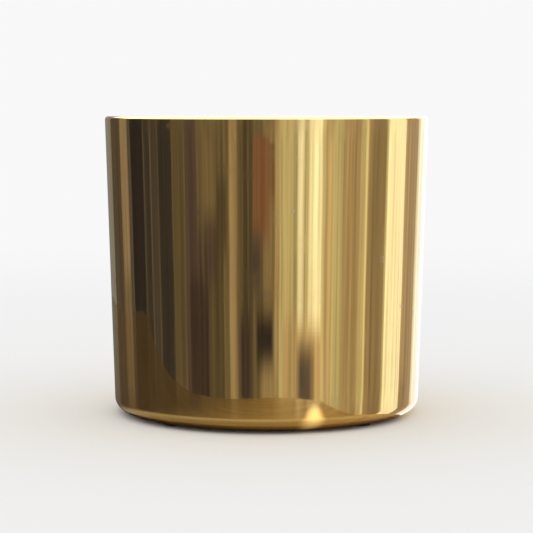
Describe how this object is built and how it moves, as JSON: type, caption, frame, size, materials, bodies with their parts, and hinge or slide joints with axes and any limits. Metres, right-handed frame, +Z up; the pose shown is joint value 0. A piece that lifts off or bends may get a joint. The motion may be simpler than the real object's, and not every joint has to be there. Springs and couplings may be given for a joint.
{
  "type": "planter pot",
  "caption": "Tapered round planter of spun sheet brass with a rolled, wired rim, standing on pads and holding a lift-out grow pot on a drip saucer.",
  "frame": {"origin": "centre of the pot on the surface it stands on, at the underside of the floor pads", "axes": "+Z up along the pot's axis, -Y towards the front, +X to the right"},
  "size_m": [0.25, 0.25, 0.23],
  "materials": {
    "polished_brass": "polished, lightly tarnished",
    "steel_wire": "drawn and zinc plated",
    "pad_rubber": "moulded, matt",
    "saucer_plastic": "moulded, fine texture",
    "grow_pot_plastic": "moulded, satin"
  },
  "bodies": {
    "pot": {"pot_shell": "polished_brass", "rim_wire": "steel_wire", "foot_pad_front_left": "pad_rubber", "foot_pad_front_right": "pad_rubber", "foot_pad_back_left": "pad_rubber", "foot_pad_back_right": "pad_rubber"},
    "saucer": {"drip_saucer": "saucer_plastic"},
    "liner": {"grow_pot": "grow_pot_plastic"}
  },
  "joints": [
    {"name": "saucer_lift", "type": "slide", "parent": "pot", "child": "saucer", "axis": [0, 0, 1], "range_m": [0, 0.24]},
    {"name": "grow_pot_lift", "type": "slide", "parent": "saucer", "child": "liner", "axis": [0, 0, 1], "range_m": [0, 0.225]}
  ]
}
